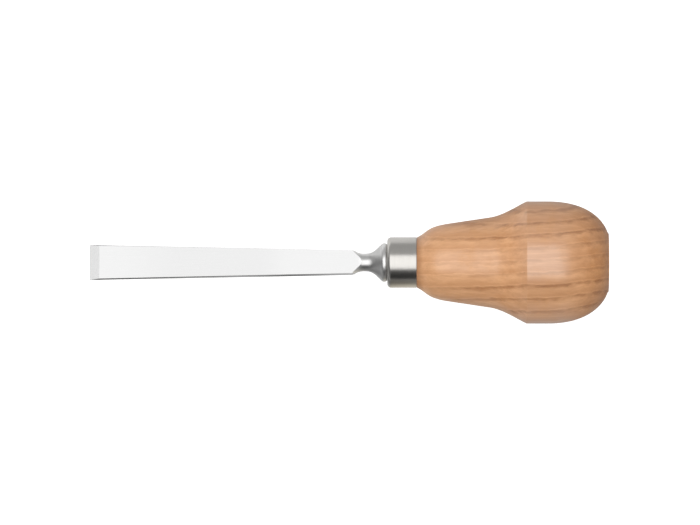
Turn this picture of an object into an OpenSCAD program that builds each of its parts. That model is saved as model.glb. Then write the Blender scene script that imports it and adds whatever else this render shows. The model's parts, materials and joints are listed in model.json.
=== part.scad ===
// Chip carving chisel with a palm handle: a forged straight blade with a flared bolster, a drawn
// steel ferrule and a turned ash handle.
// Each piece is drawn along the axis of the tool: x = 0 where the bolster seats on the ferrule, the
// cutting edge towards -X, the butt of the handle towards +X, the flats of the blade up and down.
// The whole tool then lies on z = 0 as on a bench, on the heel of its lower cutting bevel and on the
// front arris of the palm band.

/* [Blade] */
// Width of the cutting edge
edge_width = 10; // [7:0.5:13]
// Width of the blade at the shoulder
shoulder_width = 6.6; // [5.8:0.1:8]
// Length from the cutting edge to the shoulder
blade_length = 74.4; // [50:0.1:100]
// Thickness at the heel of the two cutting bevels
heel_thickness = 1.4; // [1:0.1:2]
// Thickness at the shoulder
shoulder_thickness = 4.4; // [3.6:0.1:4.8]
// Length of each cutting bevel along the blade
bevel_length = 2.8; // [2:0.1:5]
// Leg of the chamfer on the four long arrises, at the heel
arris_leg = 0.25; // [0.1:0.05:0.45]
// Distance before the shoulder at which the chamfers have died out
arris_stop = 6; // [2:0.5:20]

/* [Neck and bolster] */
// Diameter of the round neck
neck_d = 5.1; // [4.6:0.1:5.6]
// Straight length of the neck between the shoulder fillet and the flare
neck_length = 0.1; // [0:0.1:6]
// Fillet radius that rounds the corners of the blade into the neck
shoulder_fillet = 4.6; // [3:0.1:6]
// Radius of the hollows where the ground flats run out on the neck
runout_radius = 9; // [6:0.1:12]
// Diameter of the bolster rim
bolster_d = 11; // [9.5:0.1:12]
// Length of the flare from the neck to the rim
flare_length = 5.2; // [4:0.1:8]
// Angle at which the flare meets the rim
flare_angle = 46; // [30:1:60]
// Width of the cylindrical rim
rim_width = 0.9; // [0.5:0.1:2]
// Chamfer at the back of the rim
rim_chamfer = 0.4; // [0.1:0.05:0.6]

/* [Tang] */
// Width across the square tang at the bolster
tang_width = 4.6; // [4:0.1:5.4]
// Width across the tang at the start of its point
tang_end_width = 2.6; // [2:0.1:3.6]
// Width across the blunt end of the point
tang_tip_width = 0.8; // [0.4:0.1:1.6]
// Length of the tang behind the bolster
tang_length = 38; // [26:0.5:46]
// Length of the point
tang_point = 4; // [2:0.5:8]

/* [Ferrule] */
// Outer diameter of the ferrule, and of the handle where it meets the ferrule
ferrule_d = 14.4; // [13.6:0.1:17]
// Length of the ferrule
ferrule_length = 8.4; // [6:0.1:14]
// Wall thickness of the ferrule
ferrule_wall = 0.9; // [0.6:0.1:1.4]
// Radius of the drawn front corner
ferrule_corner = 1.1; // [0.9:0.1:1.3]
// Break on the rear edge of the ferrule and on the front edge of the handle
joint_break = 0.15; // [0.05:0.05:0.3]

/* [Handle] */
// Diameter at the back of the rounded nose
nose_d = 21.95; // [18:0.05:25]
// Length of the nose
nose_length = 8.6; // [6:0.1:14]
// Angle at which the nose leaves the ferrule
nose_angle = 26; // [10:1:45]
// Diameter at the back of the slim grip
grip_d = 25.6; // [22.5:0.1:30]
// Length of the slim grip
grip_length = 12.2; // [8:0.1:30]
// Length of the swell behind the grip
swell_length = 10.3; // [7:0.1:20]
// Angle at which the swell meets the palm band
swell_angle = 25.5; // [15:0.5:40]
// Diameter of the palm band
palm_d = 34.65; // [30:0.05:42]
// Width of the palm band
palm_width = 6.1; // [3:0.1:15]
// Length of the domed end
dome_length = 17.15; // [12:0.05:25]
// Diameter of the flat butt
butt_d = 16.6; // [12:0.1:22]
// Break around the flat butt
butt_break = 0.3; // [0.1:0.05:1]

/* [Fits] */
// Radial clearance between the tenon and the ferrule
tenon_fit = 0.03; // [0.01:0.01:0.1]
// Gap between the end of the tenon and the closed front of the ferrule
tenon_gap = 0.1; // [0:0.05:0.4]
// Clearance around the driven tang
tang_fit = 0.03; // [0.01:0.01:0.1]
// Depth of the socket beyond the end of the tang
socket_spare = 1.5; // [0.5:0.1:5]
// Clearance between the corners of the tang and the hole in the ferrule
hole_fit = 0.25; // [0.1:0.05:0.5]

/* [Hidden] */
$fn = 96;
arc_steps = 16;
curve_steps = 16;

// Shape of each smooth stretch: how far it follows its two end angles, as shares of its span
flare_shape = [0.36, 0.6];
nose_shape = [0.34, 0.63];
swell_shape = [0.32, 0.27];
dome_shape = [0.74, 0.03];
// Angle at which the dome meets the butt
dome_angle = -72;
// Angle up to which the run-out hollow is followed, where it has left the neck
runout_end = -70;

// Radii and half sizes
half_edge = edge_width / 2;
half_shoulder = shoulder_width / 2;
half_heel = heel_thickness / 2;
half_thick = shoulder_thickness / 2;
neck_r = neck_d / 2;
bolster_r = bolster_d / 2;
ferrule_r = ferrule_d / 2;
bore_r = ferrule_r - ferrule_wall;
tenon_r = bore_r - tenon_fit;
hole_r = tang_width / sqrt(2) + hole_fit;
palm_r = palm_d / 2;
butt_r = butt_d / 2;
// Rise of the corners of the blade above the neck, and the length in which the fillet takes it up
corner_rise = norm([half_shoulder, half_thick]) - neck_r;
fillet_run = sqrt(pow(shoulder_fillet, 2) - pow(shoulder_fillet - corner_rise, 2));
// A size that clears every section of the blade and the bolster
clear = edge_width + bolster_d;

// Stations along the axis
rim_x = -rim_chamfer - rim_width;
flare_x = rim_x - flare_length;
neck_x = flare_x - neck_length;
shoulder_x = neck_x - fillet_run;
edge_x = shoulder_x - blade_length;
heel_x = edge_x + bevel_length;
tenon_x = ferrule_wall + tenon_gap;
nose_x = ferrule_length + nose_length;
swell_x = nose_x + grip_length;
palm_x = swell_x + swell_length;
dome_x = palm_x + palm_width;
butt_x = dome_x + dome_length;

// Points of an arc about c from angle a to angle b
function arc(c, r, a, b) =
    [for (i = [0 : arc_steps]) let (t = a + (b - a) * i / arc_steps) c + r * [cos(t), sin(t)]];

// Points of a smooth curve that leaves p at angle a and reaches q at angle b
function curve(p, a, q, b, shape) =
    let (
        span = norm(q - p),
        lead = p + shape[0] * span * [cos(a), sin(a)],
        tail = q - shape[1] * span * [cos(b), sin(b)]
    )
    [for (i = [0 : curve_steps]) let (t = i / curve_steps, s = 1 - t)
        s * s * s * p + 3 * s * s * t * lead + 3 * s * t * t * tail + t * t * t * q];

// Closed outline from one side of a shape that is the same on both sides of the axis
function both_sides(side) =
    concat(side, [for (i = [len(side) - 1 : -1 : 0]) [side[i][0], -side[i][1]]]);

// Half width of the tapered blade at a station
function half_width(x) = half_shoulder + (half_edge - half_shoulder) * (shoulder_x - x) / blade_length;

// The blade from above: straight tapered sides, wide open from the flare back
plan = both_sides([
    [edge_x - clear, half_width(edge_x - clear)],
    [flare_x, half_width(flare_x)],
    [flare_x, clear],
    [clear, clear]
]);

// The blade from the side: two bevels, tapered flats and the hollows where the flats run out
profile = concat([[edge_x, 0]], both_sides(concat(
    [[heel_x, half_heel]],
    arc([shoulder_x, half_thick + runout_radius], runout_radius, -90, runout_end),
    [[shoulder_x + runout_radius, clear], [clear, clear]]
)));

// The blade along a diagonal: the chamfers on its long arrises, which die out on the cutting bevels
// and again before the shoulder
function arris(x) = arris_leg * (shoulder_x - arris_stop - x) / (shoulder_x - arris_stop - heel_x);
arrises = both_sides([
    [edge_x - clear, (half_edge + arris_leg) / sqrt(2)],
    [edge_x, (half_edge + arris_leg) / sqrt(2)],
    [heel_x, (half_width(heel_x) + half_heel - arris_leg) / sqrt(2)],
    [shoulder_x, (half_shoulder + half_thick - arris(shoulder_x)) / sqrt(2)],
    [shoulder_x, clear],
    [clear, clear]
]);

// Turned envelope of the forging: fillet at the shoulder, neck, flare and rim
envelope = concat(
    [[edge_x - clear, 0], [edge_x - clear, clear], [neck_x - shoulder_fillet, clear]],
    arc([neck_x, neck_r + shoulder_fillet], shoulder_fillet, 180, 270),
    curve([flare_x, neck_r], 0, [rim_x, bolster_r], flare_angle, flare_shape),
    [[-rim_chamfer, bolster_r], [0, bolster_r - rim_chamfer], [0, 0]]
);

// Drawn cap with a closed front, pierced for the tang
cap = concat(
    [[0, hole_r]],
    arc([ferrule_corner, ferrule_r - ferrule_corner], ferrule_corner, 180, 90),
    [
        [ferrule_length - joint_break, ferrule_r],
        [ferrule_length, ferrule_r - joint_break],
        [ferrule_length, bore_r],
        [ferrule_wall, bore_r],
        [ferrule_wall, hole_r]
    ]
);

// Outline of the grip from its joint with the ferrule to the flat butt
grip_angle = atan2(grip_d - nose_d, 2 * grip_length);
grip = concat(
    [[ferrule_length, ferrule_r - joint_break]],
    curve([ferrule_length + joint_break, ferrule_r], nose_angle, [nose_x, nose_d / 2], grip_angle, nose_shape),
    curve([swell_x, grip_d / 2], grip_angle, [palm_x, palm_r], swell_angle, swell_shape),
    curve([dome_x, palm_r], 0, [butt_x - butt_break, butt_r + butt_break], dome_angle, dome_shape),
    [[butt_x, butt_r]]
);

// Lie of the tool: nose down until the heel of the blade and the palm band touch the bench
tilt = atan2(palm_r - half_heel, palm_x - heel_x);
rest_z = palm_r * cos(tilt) - palm_x * sin(tilt);
rest_front = edge_x * cos(tilt);
rest_back = max([for (p = grip) p[0] * cos(tilt) + p[1] * sin(tilt)]);

// Lays the tool on the bench, with the origin under the middle of its length
module laid() {
    translate([-(rest_front + rest_back) / 2, 0, rest_z])
        rotate([0, -tilt, 0])
            children();
}

// Solid turned about the axis from points of station and radius
module turned(outline) {
    rotate([0, 90, 0])
        rotate_extrude()
            polygon([for (p = outline) [p[1], p[0]]]);
}

// Solid cut straight through from an outline along the axis, rolled about the axis
module through(outline, roll) {
    rotate([roll, 0, 0])
        linear_extrude(height = 2 * clear, center = true)
            polygon(outline);
}

// Square tang that tapers to a point, or its socket when it is grown and made deeper
module tang(grow, deeper) {
    side = both_sides([
        [-rim_chamfer, tang_width / 2 + grow],
        [0, tang_width / 2 + grow],
        [tang_length - tang_point, tang_end_width / 2 + grow],
        [tang_length + deeper, tang_tip_width / 2 + grow]
    ]);
    intersection() {
        through(side, 0);
        through(side, 90);
    }
}

// Forging: blade, neck, bolster and tang in one piece
module blade() {
    color("silver") laid() {
        intersection() {
            through(plan, 0);
            through(profile, 90);
            through(arrises, 45);
            through(arrises, -45);
            turned(envelope);
        }
        tang(0, 0);
    }
}

// Steel cap over the tenon of the handle
module ferrule() {
    color("lightsteelblue") laid() turned(cap);
}

// Turned handle with the tenon for the ferrule and the socket for the tang
module handle() {
    color("burlywood") laid() difference() {
        turned(concat(
            [[tenon_x, 0], [tenon_x, tenon_r], [ferrule_length, tenon_r]],
            grip,
            [[butt_x, 0]]
        ));
        tang(tang_fit, socket_spare);
    }
}

blade();
ferrule();
handle();
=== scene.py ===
import json
import math

import bmesh
import bpy
from mathutils import Matrix, Vector


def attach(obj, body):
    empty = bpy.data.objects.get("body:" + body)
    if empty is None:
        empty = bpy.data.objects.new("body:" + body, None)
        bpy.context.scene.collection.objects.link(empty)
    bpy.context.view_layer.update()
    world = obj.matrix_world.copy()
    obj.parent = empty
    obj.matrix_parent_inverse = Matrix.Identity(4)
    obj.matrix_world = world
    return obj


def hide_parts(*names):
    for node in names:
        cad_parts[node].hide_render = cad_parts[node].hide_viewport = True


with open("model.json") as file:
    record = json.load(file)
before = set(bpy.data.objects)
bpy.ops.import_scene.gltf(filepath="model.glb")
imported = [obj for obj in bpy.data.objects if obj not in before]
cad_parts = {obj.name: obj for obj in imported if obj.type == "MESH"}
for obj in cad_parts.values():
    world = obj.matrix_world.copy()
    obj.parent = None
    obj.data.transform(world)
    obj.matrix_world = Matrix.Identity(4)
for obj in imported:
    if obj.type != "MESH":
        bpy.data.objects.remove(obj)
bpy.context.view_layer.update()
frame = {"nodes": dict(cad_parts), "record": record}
scene = bpy.context.scene
mm = 0.001
print("frame loaded:", ", ".join(sorted(frame["nodes"])))

# lie of the tool on the bench: its axis leaves the middle of the butt, this far behind the ferrule's front
buttStation = 62.75
butt = next(mount for mount in frame["record"]["mounts"] if mount["name"] == "butt")
axis = Vector(butt["axis"]).normalized()
tilt = math.atan2(axis.z, axis.x)
lay = Matrix.Translation(Vector(butt["pos_m"]) - axis * buttStation * mm) @ Matrix.Rotation(-tilt, 4, "Y")

turns = 192           # facets round a turned piece
easedTurn = 8         # degrees that one facet of a small rounding turns at most
sharpAngle = 9        # degrees, above easedTurn, so that small roundings shade smoothly
weldDistance = 1e-7   # metres


# outlines, as (station along the tool's axis, radius) in millimetres

def smoothRun(start, startAngle, end, endAngle, shares, steps):
    # a cubic curve that leaves and arrives at the given angles, with handles of these shares of its span
    a, b = Vector(start), Vector(end)
    span = (b - a).length
    lead = a + shares[0] * span * Vector((math.cos(startAngle), math.sin(startAngle)))
    tail = b - shares[1] * span * Vector((math.cos(endAngle), math.sin(endAngle)))
    points = []
    for i in range(steps + 1):
        t = i / steps
        s = 1 - t
        points.append(s ** 3 * a + 3 * s * s * t * lead + 3 * s * t * t * tail + t ** 3 * b)
    return points


def easedCorner(before, corner, after, radius):
    u, v = (before - corner).normalized(), (after - corner).normalized()
    turn = math.pi - u.angle(v)
    reach = radius * math.tan(turn / 2)
    centre = corner + (u + v).normalized() * math.hypot(radius, reach)
    start, end = corner + u * reach - centre, corner + v * reach - centre
    steps = max(2, math.ceil(math.degrees(turn) / easedTurn))
    points = []
    for i in range(steps + 1):
        share = i / steps
        swing = start * math.sin((1 - share) * turn) + end * math.sin(share * turn)
        points.append(centre + swing / math.sin(turn))
    return points


def easedOutline(outline, radii):
    # radii: {index of a corner in the outline: its small rounding}
    points = []
    for i, point in enumerate(outline):
        if i in radii:
            points += easedCorner(outline[i - 1], point, outline[i + 1], radii[i])
        else:
            points.append(point)
    return points


# meshes, in the tool's own frame: x along the axis from the ferrule's front, flats of the blade up and down

def turnedRing(bm, station, radius, square=False):
    ring = []
    for k in range(turns):
        angle = 2 * math.pi * k / turns
        y, z = math.cos(angle), math.sin(angle)
        reach = radius / max(abs(y), abs(z)) if square else radius
        ring.append(bm.verts.new((station * mm, reach * y * mm, reach * z * mm)))
    return ring


def joinRings(bm, first, second):
    faces = []
    for k in range(len(first)):
        nextK = (k + 1) % len(first)
        faces.append(bm.faces.new((first[k], first[nextK], second[nextK], second[k])))
    return faces


def capRing(bm, ring, finish=0):
    centre = bm.verts.new(sum((v.co for v in ring), Vector()) / len(ring))
    for k in range(len(ring)):
        bm.faces.new((ring[k], ring[(k + 1) % len(ring)], centre)).material_index = finish


def pieceFromMesh(bm, name, materials):
    bmesh.ops.remove_doubles(bm, verts=bm.verts, dist=weldDistance)
    bmesh.ops.recalc_face_normals(bm, faces=bm.faces)
    bmesh.ops.transform(bm, matrix=lay, verts=bm.verts)
    mesh = bpy.data.meshes.new(name)
    bm.to_mesh(mesh)
    bm.free()
    mesh.shade_smooth()
    mesh.set_sharp_from_angle(angle=math.radians(sharpAngle))
    for material in materials:
        mesh.materials.append(material)
    piece = bpy.data.objects.new(name, mesh)
    scene.collection.objects.link(piece)
    even = piece.modifiers.new("evenNormals", "WEIGHTED_NORMAL")
    even.keep_sharp = True
    return piece


# shader helpers; a value may be a number, a colour or another node's output

def addNode(tree, kind, **settings):
    node = tree.nodes.new("ShaderNode" + kind)
    count = len(tree.nodes)
    node.location = (count % 9 * 190, -(count // 9) * 260)   # rows of nine in the editor
    for key, value in settings.items():
        setattr(node, key, value)
    return node


def plug(tree, socket, value):
    if isinstance(value, bpy.types.NodeSocket):
        tree.links.new(value, socket)
    else:
        socket.default_value = value


def calc(tree, operation, *values):
    node = addNode(tree, "Math", operation=operation)
    for socket, value in zip(node.inputs, values):
        plug(tree, socket, value)
    return node.outputs[0]


def chain(tree, operation, first, *others):
    for other in others:
        first = calc(tree, operation, first, other)
    return first


def hypotenuse(tree, a, b):
    squares = [calc(tree, "MULTIPLY", side, side) for side in (a, b)]
    return calc(tree, "SQRT", calc(tree, "ADD", *squares))


def remap(tree, value, fromLow, fromHigh, toLow=0.0, toHigh=1.0, soft=True):
    node = addNode(tree, "MapRange", interpolation_type="SMOOTHSTEP" if soft else "LINEAR")
    for label, amount in (("Value", value), ("From Min", fromLow), ("From Max", fromHigh),
                          ("To Min", toLow), ("To Max", toHigh)):
        plug(tree, node.inputs[label], amount)
    return node.outputs["Result"]


def between(tree, value, limits):
    # 1 from the second limit to the third, and fading to 0 at the first and the last
    start, whole, fading, end = limits
    return calc(tree, "MULTIPLY", remap(tree, value, start, whole), remap(tree, value, fading, end, 1, 0))


def contrast(tree, value, spread):
    # what lies within this spread of the middle fills 0 to 1
    return remap(tree, value, 0.5 - spread, 0.5 + spread)


def splitVector(tree, vector):
    node = addNode(tree, "SeparateXYZ")
    tree.links.new(vector, node.inputs[0])
    return node.outputs


def stretched(tree, vector, scale):
    node = addNode(tree, "VectorMath", operation="MULTIPLY")
    plug(tree, node.inputs[0], vector)
    plug(tree, node.inputs[1], scale)
    return node.outputs[0]


def alignment(tree, vector, direction):
    node = addNode(tree, "VectorMath", operation="DOT_PRODUCT")
    plug(tree, node.inputs[0], vector)
    plug(tree, node.inputs[1], direction)
    return node.outputs["Value"]


def noise(tree, vector, scale=1.0, detail=2.0, roughness=0.5):
    node = addNode(tree, "TexNoise")
    plug(tree, node.inputs["Vector"], vector)
    plug(tree, node.inputs["Scale"], scale)
    node.inputs["Detail"].default_value = detail
    node.inputs["Roughness"].default_value = roughness
    return node.outputs[0]


def blendValue(tree, share, first, second):
    node = addNode(tree, "Mix", data_type="FLOAT")
    plug(tree, node.inputs[0], share)
    plug(tree, node.inputs[2], first)
    plug(tree, node.inputs[3], second)
    return node.outputs[0]


def blendColour(tree, share, first, second, way="MIX"):
    node = addNode(tree, "Mix", data_type="RGBA", blend_type=way)
    plug(tree, node.inputs[0], share)
    plug(tree, node.inputs[6], first)
    plug(tree, node.inputs[7], second)
    return node.outputs[2]


def layer(tree, under, over, mask, strength):
    return blendColour(tree, calc(tree, "MULTIPLY", mask, strength), under, over)


def newGroup(name, values, outputs):
    group = bpy.data.node_groups.new(name, "ShaderNodeTree")
    group.interface.new_socket("Vector", in_out="INPUT", socket_type="NodeSocketVector")
    for label, value in values.items():
        socket = group.interface.new_socket(label, in_out="INPUT", socket_type="NodeSocketFloat")
        socket.default_value = value
    for label in outputs:
        group.interface.new_socket(label, in_out="OUTPUT", socket_type="NodeSocketFloat")
    return group, group.nodes.new("NodeGroupInput").outputs, group.nodes.new("NodeGroupOutput").inputs


def placeGroup(tree, group, **values):
    node = addNode(tree, "Group", node_tree=group)
    for label, value in values.items():
        plug(tree, node.inputs[label], value)
    return node.outputs


def newMaterial(name):
    material = bpy.data.materials.new(name)
    material.use_nodes = True
    return material, material.node_tree, material.node_tree.nodes["Principled BSDF"]


def toolVector(tree):
    # places in the tool's own frame, in millimetres
    node = addNode(tree, "Mapping", vector_type="TEXTURE")
    node.inputs["Location"].default_value = lay.translation
    node.inputs["Rotation"].default_value = lay.to_euler()
    node.inputs["Scale"].default_value = (mm, mm, mm)
    tree.links.new(addNode(tree, "TexCoord").outputs["Object"], node.inputs["Vector"])
    return node.outputs[0]


def addBump(tree, shader, height, strength, depth):
    bump = addNode(tree, "Bump")
    bump.inputs["Strength"].default_value = strength
    bump.inputs["Distance"].default_value = depth
    tree.links.new(height, bump.inputs["Height"])
    tree.links.new(bump.outputs["Normal"], shader.inputs["Normal"])


# group: lines that a stone, belt or lathe leaves, long where the vector is squeezed

lineShape = {"fineDetail": 3, "fineRoughness": 0.6, "fineSpread": 0.2, "coarseSpread": 0.18}


def makeToolLines():
    group, entry, leave = newGroup("toolLines", {"Fine": 6.0, "Coarse": 1.5, "Coarse Share": 0.4}, ["Lines"])
    fine = noise(group, entry["Vector"], entry["Fine"], lineShape["fineDetail"], lineShape["fineRoughness"])
    fine = contrast(group, fine, lineShape["fineSpread"])
    coarse = contrast(group, noise(group, entry["Vector"], entry["Coarse"]), lineShape["coarseSpread"])
    group.links.new(blendValue(group, entry["Coarse Share"], fine, coarse), leave["Lines"])
    return group


# group: soft smears from handling, with finer specks inside them

markShape = {
    "smearDetail": 4, "smearRoughness": 0.62, "bareFrom": 0.85, "coverDrop": 0.7, "smearEdge": 0.22,
    "specksPerSmear": 14, "speckSpan": (0.35, 0.75), "speckDepth": (0.55, 1.0),
}


def makeHandMarks():
    group, entry, leave = newGroup("handMarks", {"Size": 9.0, "Cover": 0.5}, ["Marks"])
    shape = markShape
    scale = calc(group, "DIVIDE", 1.0, entry["Size"])
    smear = noise(group, entry["Vector"], scale, shape["smearDetail"], shape["smearRoughness"])
    drop = calc(group, "MULTIPLY", entry["Cover"], shape["coverDrop"])
    low = calc(group, "SUBTRACT", shape["bareFrom"], drop)
    smear = remap(group, smear, low, calc(group, "ADD", low, shape["smearEdge"]))
    speck = noise(group, entry["Vector"], calc(group, "MULTIPLY", scale, shape["specksPerSmear"]))
    speck = remap(group, speck, *shape["speckSpan"], *shape["speckDepth"])
    group.links.new(calc(group, "MULTIPLY", smear, speck), leave["Marks"])
    return group


# group: growth rings, pores and fibres of a ring-porous wood sawn along x
# its noises are given as (scale along and across, detail, roughness), places in a ring as shares of its width

figureShape = {
    "bendNoise": ((0.045, 0.07, 0.07), 2, 0.45), "bend": 1.5,
    "jagNoise": ((0.3, 0.5, 0.5), 2, 0.55), "jag": 0.9,
    "sweepX": (46.0, 62.0), "faintestYear": 0.25,
    "raggedNoise": ((0.25, 0.9, 0.9), 3, 0.6), "raggedSpan": (0.3, 0.7),
    "earlyRise": (0.0, 0.18), "earlyFade": 0.16, "earlyEnd": (0.38, 0.66),
    "dashNoise": ((0.14, 0.4, 0.4), 3, 0.6), "dashSpan": (0.34, 0.6), "dashDepth": (0.25, 1.0),
    "lateRise": (0.45, 1.0),
    "poreScale": 0.6, "poreDetail": 1, "crowdSpan": (0.1, 0.8), "poresFrom": (0.74, 0.55), "poreEdge": 0.12,
    "fibreNoise": ((0.07, 2.6, 2.6), 4, 0.65), "streakNoise": ((0.09, 0.75, 0.75), 3, 0.6),
    "toneNoise": ((0.016, 0.13, 0.13), 2, 0.5),
}


def makeAshFigure():
    group, entry, leave = newGroup("ashFigure", {
        "Ring Width": 3.5, "First Ring": 0.0, "First Year": 0.0, "Pith Distance": 70.0, "Pith Rise": 0.3,
        "Waviness": 1.0, "Grain Slope": 0.025, "Sweep": 1.5, "Pore Width": 0.2, "Pore Length": 4.0,
    }, ["Rings", "Late", "Pores", "Fibres", "Streaks", "Tone"])
    shape = figureShape
    vector = entry["Vector"]
    x, y, z = splitVector(group, vector)

    def grainNoise(scale, detail, roughness):
        return noise(group, stretched(group, vector, scale), 1, detail, roughness)

    def swing(noiseValues, size):
        return calc(group, "MULTIPLY", calc(group, "SUBTRACT", grainNoise(*noiseValues), 0.5), size)

    # distance from the pith, waved and sloped along the length and swept aside near the butt
    pithY = calc(group, "DIVIDE", entry["Pith Distance"], hypotenuse(group, 1.0, entry["Pith Rise"]))
    pithZ = calc(group, "MULTIPLY", entry["Pith Rise"], pithY)
    reach = hypotenuse(group, calc(group, "SUBTRACT", pithY, y), calc(group, "SUBTRACT", pithZ, z))
    reach = calc(group, "SUBTRACT", reach, calc(group, "ADD", entry["Pith Distance"], entry["First Ring"]))
    wave = calc(group, "ADD", swing(shape["bendNoise"], shape["bend"]),
                swing(shape["jagNoise"], shape["jag"]))
    reach = chain(group, "ADD", reach, calc(group, "MULTIPLY", wave, entry["Waviness"]),
                  calc(group, "MULTIPLY", x, entry["Grain Slope"]),
                  remap(group, x, *shape["sweepX"], 0, entry["Sweep"]))

    # each year has a strength of its own
    years = calc(group, "DIVIDE", reach, entry["Ring Width"])
    phase = calc(group, "FRACT", years)
    oneYear = addNode(group, "TexWhiteNoise", noise_dimensions="1D")
    plug(group, oneYear.inputs["W"], calc(group, "ADD", calc(group, "FLOOR", years), entry["First Year"]))
    strength = remap(group, oneYear.outputs["Value"], 0, 1, shape["faintestYear"], 1.0, soft=False)

    # porous early wood, a soft band that comes and goes in dashes, and late wood deepening to the ring's end
    end = remap(group, grainNoise(*shape["raggedNoise"]), *shape["raggedSpan"], *shape["earlyEnd"])
    fade = remap(group, phase, shape["earlyFade"], end, 1, 0)
    dashes = remap(group, grainNoise(*shape["dashNoise"]), *shape["dashSpan"], *shape["dashDepth"])
    early = chain(group, "MULTIPLY", fade, remap(group, phase, *shape["earlyRise"]), dashes, strength)
    late = remap(group, phase, *shape["lateRise"])

    # pores, long thin vessels crowded in the early wood
    across = calc(group, "DIVIDE", 1.0, entry["Pore Width"])
    along = calc(group, "DIVIDE", 1.0, entry["Pore Length"])
    poreScale = addNode(group, "CombineXYZ")
    for socket, value in zip(poreScale.inputs, (along, across, across)):
        plug(group, socket, value)
    poreVector = stretched(group, vector, poreScale.outputs[0])
    vessel = noise(group, poreVector, shape["poreScale"], shape["poreDetail"])
    crowd = remap(group, early, *shape["crowdSpan"], *shape["poresFrom"])
    pores = remap(group, vessel, crowd, calc(group, "ADD", crowd, shape["poreEdge"]))

    for label, value in (("Rings", early), ("Late", late), ("Pores", pores),
                         ("Fibres", grainNoise(*shape["fibreNoise"])),
                         ("Streaks", grainNoise(*shape["streakNoise"])),
                         ("Tone", grainNoise(*shape["toneNoise"]))):
        group.links.new(value, leave[label])
    return group


toolLines = makeToolLines()
handMarks = makeHandMarks()
ashFigure = makeAshFigure()
print("node groups made")


# steel, in as many finishes as there are looks for it

steelShares = {"lineColour": 0.5, "markColour": 0.35, "lineRoughness": 0.6, "markRoughness": 0.4}


def makeSteel(name, look):
    material, tree, shader = newMaterial(name)
    vector = toolVector(tree)
    lines = placeGroup(tree, toolLines, Vector=stretched(tree, vector, look["lineScale"]))["Lines"]
    marks = placeGroup(tree, handMarks, Vector=vector, **look["marks"])["Marks"]
    colour = layer(tree, look["colour"], look["shade"], lines, steelShares["lineColour"])
    colour = layer(tree, colour, look["shade"], marks, steelShares["markColour"])
    if "paintedDim" in look:   # painted shade: a stretch along the tool darkened in colour, so that what it mirrors looks dimmer there
        paintedDim = between(tree, splitVector(tree, vector)["X"], look["paintedDim"])
        colour = blendColour(tree, paintedDim, colour, look["paintedDimShade"], "MULTIPLY")
    low, high = look["roughness"]
    byLines = steelShares["lineRoughness"] * (high - low)
    byMarks = steelShares["markRoughness"] * (high - low)
    rough = remap(tree, lines, 0, 1, low, low + byLines, soft=False)
    rough = calc(tree, "ADD", rough, calc(tree, "MULTIPLY", marks, byMarks))
    tree.links.new(colour, shader.inputs["Base Color"])
    tree.links.new(rough, shader.inputs["Roughness"])
    shader.inputs["Metallic"].default_value = 1.0
    addBump(tree, shader, lines, look["bump"], look["depth"])
    return material


# blade: flat ground blade, turned neck and bolster, square tang, in one forging

bladeSizes = {
    "edgeWidth": 10.0, "shoulderWidth": 6.6, "length": 74.4, "heelThickness": 1.4, "shoulderThickness": 4.4,
    "bevel": 2.8, "arrisLeg": 0.25, "arrisStop": 6.0,
    "neckDiameter": 5.1, "neckLength": 0.1, "shoulderFillet": 4.6, "runoutRadius": 9.0,
    "bolsterDiameter": 11.0, "flareLength": 5.2, "flareAngle": 46.0, "flareShares": (0.36, 0.6),
    "rimWidth": 0.9, "rimChamfer": 0.4, "rimRounds": (1.0, 0.6, 0.1),
    "tangWidth": 4.6, "tangEndWidth": 2.6, "tangTipWidth": 0.8, "tangLength": 38.0, "tangPoint": 4.0,
}
# rows of faces along the blade, and steps in each quarter round it
bladeRows = {"bevel": 4, "flat": 14, "arrisStop": 4, "tongue": 34, "neck": 6, "flare": 36}
bladeSteps = {"side": 4, "corner": 20, "top": 14}
leastSide = math.radians(4)   # what the side's steps still span where the side flat has run out on the neck
tongueTip = 0.35              # half width at which the run-out of the flat is closed with a blunt end
groundLook = {
    "colour": (0.592, 0.592, 0.592, 1), "shade": (0.573, 0.573, 0.573, 1), "roughness": (0.18, 0.22),
    "lineScale": (0.05, 4.0, 4.0), "bump": 0.012, "depth": 0.00001, "marks": {"Size": 14, "Cover": 0.3},
    # painted shade: the flats' middle stretch is darkened for a dimmer reflection
    "paintedDim": (-78.0, -57.0, -37.0, -27.0), "paintedDimShade": (0.955, 0.955, 0.955, 1),
}
bevelLook = {
    "colour": (0.533, 0.533, 0.533, 1), "shade": (0.51, 0.51, 0.51, 1), "roughness": (0.16, 0.18),
    "lineScale": (3.0, 0.15, 3.0), "bump": 0.008, "depth": 0.000006, "marks": {"Size": 14, "Cover": 0.3},
}
neckLook = {
    "colour": (0.8, 0.796, 0.788, 1), "shade": (0.69, 0.685, 0.675, 1), "roughness": (0.35, 0.41),
    "lineScale": (1.2, 0.12, 0.12), "bump": 0.02, "depth": 0.000006, "marks": {"Size": 4, "Cover": 0.4},
    # painted shade: the bolster's flare is darkened for a dimmer reflection
    "paintedDim": (-5.7, -4.6, -2.4, -1.4), "paintedDimShade": (0.81, 0.81, 0.81, 1),
}
tangLook = {
    "colour": (0.11, 0.105, 0.1, 1), "shade": (0.05, 0.047, 0.045, 1), "roughness": (0.42, 0.7),
    "lineScale": (0.4, 1.2, 1.2), "bump": 0.3, "depth": 0.00004, "marks": {"Size": 5, "Cover": 0.6},
}


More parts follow.
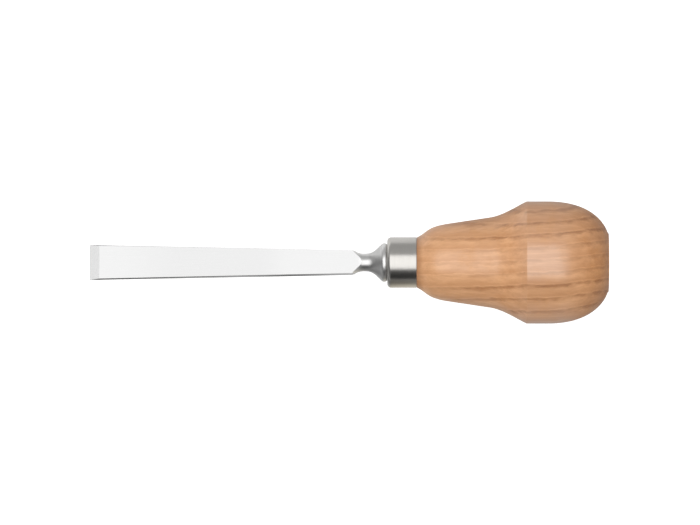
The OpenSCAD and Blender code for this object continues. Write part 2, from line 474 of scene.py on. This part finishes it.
def bladeStations():
    sizes = bladeSizes
    fillet = sizes["shoulderFillet"]
    cornerR = math.hypot(sizes["shoulderWidth"] / 2, sizes["shoulderThickness"] / 2)
    cornerRise = cornerR - sizes["neckDiameter"] / 2
    at = {"rim": -sizes["rimChamfer"] - sizes["rimWidth"]}
    at["flare"] = at["rim"] - sizes["flareLength"]
    at["neck"] = at["flare"] - sizes["neckLength"]
    at["shoulder"] = at["neck"] - math.sqrt(fillet ** 2 - (fillet - cornerRise) ** 2)
    at["edge"] = at["shoulder"] - sizes["length"]
    at["heel"] = at["edge"] + sizes["bevel"]
    at["arrisEnd"] = at["shoulder"] - sizes["arrisStop"]
    return at


bladeAt = bladeStations()
quarter = sum(bladeSteps.values())
evenAngles = [math.pi / 2 * i / quarter for i in range(quarter + 1)]


def halfWidth(x):
    wide, slim = bladeSizes["edgeWidth"] / 2, bladeSizes["shoulderWidth"] / 2
    return slim + (wide - slim) * (bladeAt["shoulder"] - x) / bladeSizes["length"]


def halfHeight(x):
    thin, thick = bladeSizes["heelThickness"] / 2, bladeSizes["shoulderThickness"] / 2
    runout = bladeSizes["runoutRadius"]
    if x <= bladeAt["heel"]:
        return thin * (x - bladeAt["edge"]) / bladeSizes["bevel"]
    if x <= bladeAt["shoulder"]:
        return thin + (thick - thin) * (x - bladeAt["heel"]) / (bladeAt["shoulder"] - bladeAt["heel"])
    return thick + runout - math.sqrt(runout ** 2 - (x - bladeAt["shoulder"]) ** 2)


def arrisLeg(x):
    # nothing at the cutting edge, most at the heel, nothing again before the shoulder
    most = bladeSizes["arrisLeg"]
    if x <= bladeAt["heel"]:
        return most * (x - bladeAt["edge"]) / bladeSizes["bevel"]
    return max(0.0, most * (bladeAt["arrisEnd"] - x) / (bladeAt["arrisEnd"] - bladeAt["heel"]))


def turnedRadius(x):
    neck, fillet = bladeSizes["neckDiameter"] / 2, bladeSizes["shoulderFillet"]
    if x >= bladeAt["neck"]:
        return neck
    return neck + fillet - math.sqrt(fillet ** 2 - (bladeAt["neck"] - x) ** 2)


def tongueHalf(x):
    # half width of the flat where it runs out on the turned neck
    radius, height = turnedRadius(x), halfHeight(x)
    return math.sqrt(max(radius ** 2 - height ** 2, 0)) if height < radius else 0.0


def stationOfTongue(half):
    low, high = bladeAt["shoulder"], bladeAt["shoulder"] + bladeSizes["runoutRadius"]
    for i in range(50):   # halvings, enough for a float's last digits
        middle = (low + high) / 2
        low, high = (middle, high) if tongueHalf(middle) > half else (low, middle)
    return low


def pointsAlong(a, b, steps):
    return [(a[0] + (b[0] - a[0]) * i / steps, a[1] + (b[1] - a[1]) * i / steps) for i in range(steps)]


# a section is its station and a quarter round of points, from the side to the top

def bladeQuarter(x):
    width, height, leg = halfWidth(x), halfHeight(x), arrisLeg(x)
    low, high = (width, height - leg), (width - leg, height)
    points = pointsAlong((width, 0), low, bladeSteps["side"])
    points += pointsAlong(low, high, bladeSteps["corner"])
    points += pointsAlong(high, (0, height), bladeSteps["top"])
    return points + [(0, height)]


def neckQuarter(x):
    radius, width, height = turnedRadius(x), halfWidth(x), halfHeight(x)
    side, corner, top = (bladeSteps[name] for name in ("side", "corner", "top"))
    # where the side flat ends and the top flat starts, as angles round the axis
    sideEnd = max(math.acos(min(1.0, width / radius)), leastSide)
    topStart = math.acos(max(tongueHalf(x), tongueTip) / radius)
    angles = [sideEnd * i / side for i in range(side)]
    angles += [sideEnd + (topStart - sideEnd) * i / corner for i in range(corner)]
    points = [(min(width, radius * math.cos(a)), radius * math.sin(a)) for a in angles]
    topY = radius * math.cos(topStart)
    for i in range(top + 1):
        y = topY * (1 - i / top)
        points.append((y, min(height, math.sqrt(radius ** 2 - y * y))))
    return points


def flatSections():
    edge, heel, arrisEnd, shoulder = (bladeAt[name] for name in ("edge", "heel", "arrisEnd", "shoulder"))
    bevel, flat, stop = (bladeRows[name] for name in ("bevel", "flat", "arrisStop"))
    stations = [edge + bladeSizes["bevel"] * i / bevel for i in range(bevel + 1)]
    stations += [heel + (arrisEnd - heel) * i / flat for i in range(1, flat + 1)]
    stations += [arrisEnd + (shoulder - arrisEnd) * i / stop for i in range(1, stop)]
    return [(x, bladeQuarter(x)) for x in stations]


def neckSections():
    # the tongue by equal steps of its width, so that its end stays round, then the neck
    tongueRows, neckRows = bladeRows["tongue"], bladeRows["neck"]
    shares = [1 - i / tongueRows for i in range(1, tongueRows + 1)]
    stations = [bladeAt["shoulder"]] + [stationOfTongue(bladeSizes["shoulderWidth"] / 2 * s) for s in shares]
    apex = stations[-1]
    stations += [apex + (bladeAt["flare"] - apex) * i / neckRows for i in range(1, neckRows + 1)]
    return [(x, neckQuarter(x)) for x in stations]


def bolsterSections(neckPoints):
    # rings, which even out their spacing along the flare
    sizes = bladeSizes
    neckR, rimR = sizes["neckDiameter"] / 2, sizes["bolsterDiameter"] / 2
    flare = smoothRun((bladeAt["flare"], neckR), 0, (bladeAt["rim"], rimR), math.radians(sizes["flareAngle"]),
                      sizes["flareShares"], bladeRows["flare"])
    corners = [flare[-2], flare[-1], Vector((-sizes["rimChamfer"], rimR)),
               Vector((0, rimR - sizes["rimChamfer"])), Vector((0, sizes["tangWidth"] / 2))]
    rim = easedOutline(corners, dict(enumerate(sizes["rimRounds"], 1)))
    neckAngles = [math.atan2(z, y) for y, z in neckPoints]
    sections = []
    for i, (x, radius) in enumerate(flare[1:-1] + rim[1:-1]):
        share = min(1.0, i / (len(flare) - 2))
        angles = [a + (b - a) * share for a, b in zip(neckAngles, evenAngles)]
        sections.append((x, [(radius * math.cos(a), radius * math.sin(a)) for a in angles]))
    return sections


def squareQuarter(half):
    points = []
    for angle in evenAngles:
        y, z = math.cos(angle), math.sin(angle)
        points.append((half * y / max(y, z), half * z / max(y, z)))
    return points


def tangSections():
    sizes = bladeSizes
    pointX = sizes["tangLength"] - sizes["tangPoint"]
    widths = ((0, sizes["tangWidth"]), (pointX, sizes["tangEndWidth"]),
              (sizes["tangLength"], sizes["tangTipWidth"]))
    return [(x, squareQuarter(width / 2)) for x, width in widths]


def makeBlade():
    flats, neck = flatSections(), neckSections()
    bolster = bolsterSections(neck[-1][1])
    bm = bmesh.new()
    rings = []
    for x, points in flats + neck + bolster + tangSections():
        around = points[:-1] + [(-y, z) for y, z in points[:0:-1]]
        around += [(-y, -z) for y, z in points[:-1]] + [(y, -z) for y, z in points[:0:-1]]
        rings.append([bm.verts.new((x * mm, y * mm, z * mm)) for y, z in around])

    ground, honed, turned, forged = range(4)
    flatEnd = len(flats)
    tongueEnd = flatEnd + bladeRows["tongue"]
    turnedEnd = len(flats + neck + bolster)
    for row, (first, second) in enumerate(zip(rings, rings[1:])):
        for k, face in enumerate(joinRings(bm, first, second)):
            column = k % (2 * quarter)
            column = min(column, 2 * quarter - 1 - column)   # counted from the side in every quarter
            onTop = column >= bladeSteps["side"] + bladeSteps["corner"]
            if row < bladeRows["bevel"]:
                face.material_index = honed
            elif row < flatEnd or (row < tongueEnd and onTop):
                face.material_index = ground
            else:
                face.material_index = turned if row < turnedEnd else forged
    capRing(bm, rings[-1], forged)
    return pieceFromMesh(bm, "chiselBlade", [
        makeSteel("groundSteel", groundLook), makeSteel("honedSteel", bevelLook),
        makeSteel("turnedSteel", neckLook), makeSteel("forgedSteel", tangLook)])


blade = makeBlade()
print("blade made:", len(blade.data.polygons), "faces")


# ferrule: drawn cap, pierced for the tang

ferruleSizes = {
    "diameter": 14.4, "length": 8.4, "wall": 0.9, "corner": 1.1, "hole": 7.0054, "holeRound": 0.15,
    "break": 0.15, "breakRound": 0.08,
}
ferruleLook = {
    "colour": (0.615, 0.597, 0.568, 1), "shade": (0.56, 0.541, 0.511, 1), "roughness": (0.275, 0.305),
    "lineScale": (0.7, 0.1, 0.1), "bump": 0.002, "depth": 0.000006, "marks": {"Size": 6, "Cover": 0.45},
}


def makeFerrule():
    sizes = ferruleSizes
    wall, length, edge = sizes["wall"], sizes["length"], sizes["break"]
    outer, hole = sizes["diameter"] / 2, sizes["hole"] / 2
    bore = outer - wall
    outline = [Vector(p) for p in (
        (wall, hole), (0, hole), (0, outer), (length - edge, outer), (length, outer - edge), (length, bore),
        (wall, bore), (wall, hole))]
    points = easedOutline(outline, {1: sizes["holeRound"], 2: sizes["corner"],
                                    3: sizes["breakRound"], 4: sizes["breakRound"]})
    bm = bmesh.new()
    rings = [turnedRing(bm, x, radius) for x, radius in points]
    for first, second in zip(rings, rings[1:]):
        joinRings(bm, first, second)
    return pieceFromMesh(bm, "ferruleCap", [makeSteel("ferruleSteel", ferruleLook)])


ferrule = makeFerrule()
print("ferrule made:", len(ferrule.data.polygons), "faces")


# handle: turned ash with a tenon in the ferrule and a socket for the tang

handleSizes = {
    "frontDiameter": 14.4, "frontX": 8.4, "break": 0.15, "tenonX": 1.0, "tenonDiameter": 12.54,
    "noseDiameter": 21.95, "noseLength": 8.6, "noseAngle": 26.0, "noseShares": (0.34, 0.63),
    "gripDiameter": 25.6, "gripLength": 12.2,
    "swellLength": 10.3, "swellAngle": 25.5, "swellShares": (0.32, 0.27),
    "palmDiameter": 34.65, "palmWidth": 6.1, "palmArris": 0.6,
    "domeLength": 17.15, "domeAngle": -72.0, "domeShares": (0.74, 0.03),
    "buttDiameter": 16.6, "buttBreak": 0.3, "buttRounds": (0.25, 0.4),
    "socketDepth": 39.5, "socketFit": 0.03,
}
handleRows = {"nose": 36, "grip": 12, "swell": 36, "palm": 8, "dome": 56}
ashLook = {
    "figure": {
        "Ring Width": 3.567, "First Ring": -0.7, "First Year": 24119, "Pith Distance": 70.0, "Pith Rise": 0.3,
        "Waviness": 1.0, "Grain Slope": 0.025, "Sweep": 1.5, "Pore Width": 0.2, "Pore Length": 4.0,
    },
    "marks": {"Size": 7, "Cover": 0.55},
    "toneSpread": 0.2, "fibreSpread": 0.22, "streakSpread": 0.18,
    "light": (0.845, 0.455, 0.222, 1), "mid": (0.62, 0.295, 0.127, 1), "midShares": (0.25, 0.3, 0.45),
    "pale": (0.96, 0.61, 0.36, 1), "paleX": (29.0, 38.5), "paleGrip": 0.08,
    "late": (0.585, 0.262, 0.104, 1), "lateStrength": 0.5,
    "ring": (0.36, 0.13, 0.036, 1), "ringX": (15.0, 32.0), "ringStrength": (0.33, 0.9),
    "pore": (0.28, 0.1, 0.03, 1), "poreStrength": 0.3,
    # end and endFacing: end grain's deeper colour, partly painted shade on the dome
    # painted shade: jointShade darkens the wood next to the ferrule
    "end": (0.85, 0.78, 0.69, 1), "endFacing": (0.15, 0.75), "jointShade": 0.55, "jointReach": 2.0,
    "roughness": (0.36, 0.5), "markRoughness": 0.06, "specular": 0.2,
    "gripCoat": 0.5, "palmCoat": 1.0, "domeCoat": 0.36, "palmFrom": (34.0, 40.5), "palmTo": (48.0, 56.0),
    "markCoat": 0.3, "coatRoughness": 0.3, "coatIor": 2.15,
    "fibreHeight": 0.25, "bump": 0.15, "depth": 0.00003,
}


def makeAsh():
    look = ashLook
    material, tree, shader = newMaterial("lacqueredAsh")
    vector = toolVector(tree)
    x = splitVector(tree, vector)["X"]
    figure = placeGroup(tree, ashFigure, Vector=vector, **look["figure"])
    marks = placeGroup(tree, handMarks, Vector=vector, **look["marks"])["Marks"]

    # light and deeper wood by tone, fibres and streaks, a little paler ahead of the palm band
    tone = contrast(tree, figure["Tone"], look["toneSpread"])
    fibres = contrast(tree, figure["Fibres"], look["fibreSpread"])
    streaks = contrast(tree, figure["Streaks"], look["streakSpread"])
    parts = zip((tone, fibres, streaks), look["midShares"])
    deeper = chain(tree, "ADD", *[calc(tree, "MULTIPLY", part, share) for part, share in parts])
    colour = blendColour(tree, deeper, look["light"], look["mid"])
    colour = blendColour(tree, remap(tree, x, *look["paleX"], look["paleGrip"], 0), colour, look["pale"])
    # late wood, rings that are fainter towards the nose, and pores
    colour = layer(tree, colour, look["late"], figure["Late"], look["lateStrength"])
    ringStrength = remap(tree, x, *look["ringX"], *look["ringStrength"])
    colour = layer(tree, colour, look["ring"], figure["Rings"], ringStrength)
    colour = layer(tree, colour, look["pore"], figure["Pores"], look["poreStrength"])

    # end grain drinks more finish, so the butt and the dome towards it are deeper in colour; the same
    # darkening is partly painted shade, where the dome turns away from the lamp
    normal = addNode(tree, "TexCoord").outputs["Normal"]
    endGrainAndShade = remap(tree, alignment(tree, normal, axis), *look["endFacing"])
    colour = blendColour(tree, endGrainAndShade, colour, look["end"], "MULTIPLY")
    # painted shade: the rim against the ferrule is darkened, where shade falls into the joint
    front = handleSizes["frontX"]
    paintedJointShade = remap(tree, x, front, front + look["jointReach"], look["jointShade"], 0)
    colour = blendColour(tree, paintedJointShade, colour, look["pore"])
    tree.links.new(colour, shader.inputs["Base Color"])

    rough = remap(tree, fibres, 0, 1, *look["roughness"], soft=False)
    rough = calc(tree, "ADD", rough, calc(tree, "MULTIPLY", marks, look["markRoughness"]))
    tree.links.new(rough, shader.inputs["Roughness"])
    # the palm band is buffed by use, the grip and the dome stay more matt
    toPalm = remap(tree, x, *look["palmFrom"], look["gripCoat"], look["palmCoat"])
    pastPalm = remap(tree, x, *look["palmTo"], look["palmCoat"], look["domeCoat"])
    gloss = calc(tree, "MINIMUM", toPalm, pastPalm)
    gloss = calc(tree, "SUBTRACT", gloss, calc(tree, "MULTIPLY", marks, look["markCoat"]))
    tree.links.new(gloss, shader.inputs["Coat Weight"])
    shader.inputs["Specular IOR Level"].default_value = look["specular"]
    shader.inputs["Coat Roughness"].default_value = look["coatRoughness"]
    shader.inputs["Coat IOR"].default_value = look["coatIor"]
    height = calc(tree, "SUBTRACT", calc(tree, "MULTIPLY", fibres, look["fibreHeight"]), figure["Pores"])
    addBump(tree, shader, height, look["bump"], look["depth"])
    return material


def handleOutline():
    sizes, rows = handleSizes, handleRows
    frontX, edge, buttBreak = sizes["frontX"], sizes["break"], sizes["buttBreak"]
    noseX = frontX + sizes["noseLength"]
    swellX = noseX + sizes["gripLength"]
    palmX = swellX + sizes["swellLength"]
    domeX = palmX + sizes["palmWidth"]
    buttX = domeX + sizes["domeLength"]
    frontR, tenonR = sizes["frontDiameter"] / 2, sizes["tenonDiameter"] / 2
    noseR, gripR = sizes["noseDiameter"] / 2, sizes["gripDiameter"] / 2
    palmR, buttR = sizes["palmDiameter"] / 2, sizes["buttDiameter"] / 2
    gripAngle = math.atan2(gripR - noseR, sizes["gripLength"])

    tenon = [Vector((sizes["tenonX"], tenonR)), Vector((frontX, tenonR)), Vector((frontX, frontR - edge))]
    nose = smoothRun((frontX + edge, frontR), math.radians(sizes["noseAngle"]),
                     (noseX, noseR), gripAngle, sizes["noseShares"], rows["nose"])
    swell = smoothRun((swellX, gripR), gripAngle, (palmX, palmR), math.radians(sizes["swellAngle"]),
                      sizes["swellShares"], rows["swell"])
    dome = smoothRun((domeX, palmR), 0, (buttX - buttBreak, buttR + buttBreak),
                     math.radians(sizes["domeAngle"]), sizes["domeShares"], rows["dome"])
    grip = [nose[-1].lerp(swell[0], i / rows["grip"]) for i in range(1, rows["grip"])]
    palm = [swell[-1].lerp(dome[0], i / rows["palm"]) for i in range(1, rows["palm"])]
    toArris = tenon + nose + grip + swell
    toButt = toArris + palm + dome
    domeRound, buttRound = sizes["buttRounds"]
    return easedOutline(toButt + [Vector((buttX, buttR)), Vector((buttX, buttR / 2))], {
        len(toArris) - 1: sizes["palmArris"], len(toButt) - 1: domeRound, len(toButt): buttRound})


def tangSocket():
    # the tang's own shape with a little room, as stations and half widths from its end to the tenon's front
    tang, fit, front = bladeSizes, handleSizes["socketFit"], handleSizes["tenonX"]
    pointX = tang["tangLength"] - tang["tangPoint"]
    taper = (tang["tangWidth"] - tang["tangEndWidth"]) / pointX
    return [(handleSizes["socketDepth"], tang["tangTipWidth"] / 2 + fit),
            (pointX, tang["tangEndWidth"] / 2 + fit),
            (front, (tang["tangWidth"] - taper * front) / 2 + fit)]


def makeHandle():
    bm = bmesh.new()
    rings = [turnedRing(bm, x, half, square=True) for x, half in tangSocket()]
    rings += [turnedRing(bm, x, radius) for x, radius in handleOutline()]
    for first, second in zip(rings, rings[1:]):
        joinRings(bm, first, second)
    capRing(bm, rings[0])
    capRing(bm, rings[-1])
    return pieceFromMesh(bm, "ashHandle", [makeAsh()])


handle = makeHandle()
print("handle made:", len(handle.data.polygons), "faces")


for piece, node, slot in ((blade, "blade", "blade_steel"), (ferrule, "ferrule", "ferrule_steel"),
                          (handle, "handle", "ash")):
    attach(piece, "root")
    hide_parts(node)
print("pieces ride on the frame")


# camera: over the blade's flat with a long lens, leaning a little to the near side; lengths in millimetres

viewLook = {"aimX": -10.52, "roll": 8.0, "frameWidth": 198.3, "lens": 600.0, "sensor": 36.0}
right = (lay.to_3x3() @ Vector((1, 0, 0))).normalized()
flatUp = (lay.to_3x3() @ Vector((0, 0, 1))).normalized()
roll = math.radians(viewLook["roll"])
back = math.cos(roll) * flatUp + math.sin(roll) * Vector((0, -1, 0))
up = back.cross(right)
facing = Matrix((right, up, back)).transposed().to_4x4()
aim = lay @ Vector((viewLook["aimX"] * mm, 0, 0))


def placeCamera():
    lens = bpy.data.cameras.new("photoCamera")
    lens.lens = viewLook["lens"]
    lens.sensor_width = viewLook["sensor"]
    camera = bpy.data.objects.new("photoCamera", lens)
    distance = viewLook["frameWidth"] * mm * viewLook["lens"] / viewLook["sensor"]
    camera.matrix_world = Matrix.Translation(aim + back * distance) @ facing
    scene.collection.objects.link(camera)
    scene.camera = camera
    scene.view_settings.view_transform = "Standard"
    scene.view_settings.look = "None"


placeCamera()
print("camera placed")


# lamps: a large soft light over the tool, and a second that only adds to the shading and isn't mirrored

lampLook = {
    "distance": 0.7, "shift": (-0.09, 0.04), "size": (0.845, 0.86), "softLevel": 1.56, "washLevel": 0.65,
}


def placeLamp(name, level, mirrored):
    lamp = bpy.data.lights.new(name, "AREA")
    lamp.shape = "RECTANGLE"
    lamp.size, lamp.size_y = lampLook["size"]
    lamp.energy = level * math.pi * lamp.size * lamp.size_y
    light = bpy.data.objects.new(name, lamp)
    along, across = lampLook["shift"]
    place = aim + back * lampLook["distance"] + right * along + up * across
    light.matrix_world = Matrix.Translation(place) @ facing
    light.visible_camera = False
    light.visible_glossy = mirrored
    scene.collection.objects.link(light)


placeLamp("softLight", lampLook["softLevel"], True)
placeLamp("washLight", lampLook["washLevel"], False)
print("lamps placed")


# room: soft fill, stronger from the left, and for what the tool mirrors grey walls with a dark opening
# at the near side; limits are parts of a direction's unit length

roomLook = {
    "fill": (0.72, 0.42), "fillX": (-0.7, 0.9), "backdrop": 1.0,
    "walls": (0.16, 0.56), "wallsY": (-0.5, 0.6), "opening": 0.015, "openingY": (-0.9, -0.985),
    "rightWall": 0.35, "rightWallX": (0.25, 0.6), "overhead": (0.8, 0.93), "overheadLean": 0.12,
    "leftCard": 0.36, "cardWay": (-0.77, 0, 0.64), "cardEdge": (0.955, 0.992), "leastSpread": 0.001,
}


def makeRoom():
    look = roomLook
    room = bpy.data.worlds.new("paleRoom")
    room.use_nodes = True
    scene.world = room
    tree = room.node_tree
    tree.nodes.clear()
    way = addNode(tree, "TexCoord").outputs["Generated"]
    rays = addNode(tree, "LightPath").outputs
    x, y, z = splitVector(tree, way)
    spread = calc(tree, "MAXIMUM", hypotenuse(tree, x, y), look["leastSpread"])
    gap = remap(tree, calc(tree, "DIVIDE", y, spread), *look["openingY"])
    walls = blendValue(tree, gap, remap(tree, y, *look["wallsY"], *look["walls"]), look["opening"])
    walls = calc(tree, "ADD", walls, remap(tree, x, *look["rightWallX"], 0, look["rightWall"]))
    # no wall overhead, where the lamp is
    overhead = calc(tree, "SUBTRACT", z, calc(tree, "MULTIPLY", x, look["overheadLean"]))
    walls = calc(tree, "MULTIPLY", walls, remap(tree, overhead, *look["overhead"], 1, 0))
    card = remap(tree, alignment(tree, way, look["cardWay"]), *look["cardEdge"], 0, look["leftCard"])
    fill = remap(tree, x, *look["fillX"], *look["fill"])
    level = blendValue(tree, rays["Is Glossy Ray"], fill, calc(tree, "ADD", walls, card))
    level = blendValue(tree, rays["Is Camera Ray"], level, look["backdrop"])
    glow = addNode(tree, "Background")
    tree.links.new(level, glow.inputs["Strength"])
    leave = addNode(tree, "OutputWorld")
    tree.links.new(glow.outputs[0], leave.inputs["Surface"])


makeRoom()
print("room made")


# table: burnt out to white for the camera; in the tool's reflections it is a painted glow, greyer on the near
# side, in place of its light and shade
# lengths in metres

black = (0, 0, 0, 1)
tableLook = {
    "halfSize": 4, "roughness": 0.9, "specular": 0.1,
    "paper": (0.93, 0.93, 0.925, 1), "glow": (0.75, 0.75, 0.75, 1), "bounce": (0.4, 0.4, 0.4, 1),
    "grey": (0.19, 0.88), "greyY": (-0.026, 0.012), "greySkew": 1.0,
    "evenGrey": 0.44, "evenX": (0.018, 0.034),
    "paintedWoodBounce": (1.0, 0.935, 0.79, 1), "woodX": (0.006, 0.012, 0.02, 0.03), "woodY": (-0.02, 0.0),
    "strips": (0.5, 0.15, 1.2), "nearY": (-0.003, 0.001), "farY": (0.008, 0.02),
    "bladeX": (-0.085, -0.075, -0.03, -0.015),
}


def makePaper():
    look = tableLook
    material, tree, shader = newMaterial("whitePaper")
    rays = addNode(tree, "LightPath").outputs
    x, y = splitVector(tree, addNode(tree, "TexCoord").outputs["Object"])[:2]
    across = calc(tree, "ADD", y, calc(tree, "MULTIPLY", x, look["greySkew"]))
    grey = remap(tree, across, *look["greyY"], *look["grey"])
    grey = blendValue(tree, remap(tree, x, *look["evenX"]), grey, look["evenGrey"])
    # painted bounce light: in front of the handle the mirrored glow is warmed, as if lit from the wood
    byWoodBounce = calc(tree, "MULTIPLY", between(tree, x, look["woodX"]), remap(tree, y, *look["woodY"], 1, 0))
    mirrored = blendColour(tree, byWoodBounce, grey, look["paintedWoodBounce"], "MULTIPLY")
    # painted reflection: beside the blade the mirrored glow is paler again, near and far, for the sides and
    # the eased edges
    near, under, far = look["strips"]
    strips = calc(tree, "ADD", remap(tree, y, *look["nearY"], near, under),
                  remap(tree, y, *look["farY"], 0, far - under))
    mirrored = blendColour(tree, between(tree, x, look["bladeX"]), mirrored, strips)
    colour = blendColour(tree, rays["Is Glossy Ray"], look["bounce"], black)
    colour = blendColour(tree, rays["Is Camera Ray"], colour, look["paper"])
    glow = blendColour(tree, rays["Is Glossy Ray"], black, mirrored)
    glow = blendColour(tree, rays["Is Camera Ray"], glow, look["glow"])
    tree.links.new(colour, shader.inputs["Base Color"])
    tree.links.new(glow, shader.inputs["Emission Color"])
    shader.inputs["Emission Strength"].default_value = 1.0
    shader.inputs["Roughness"].default_value = look["roughness"]
    shader.inputs["Specular IOR Level"].default_value = look["specular"]
    return material


def makeTable():
    bm = bmesh.new()
    bmesh.ops.create_grid(bm, x_segments=1, y_segments=1, size=tableLook["halfSize"])
    mesh = bpy.data.meshes.new("whiteTable")
    bm.to_mesh(mesh)
    bm.free()
    mesh.materials.append(makePaper())
    table = bpy.data.objects.new("whiteTable", mesh)
    scene.collection.objects.link(table)


makeTable()
print("table laid")
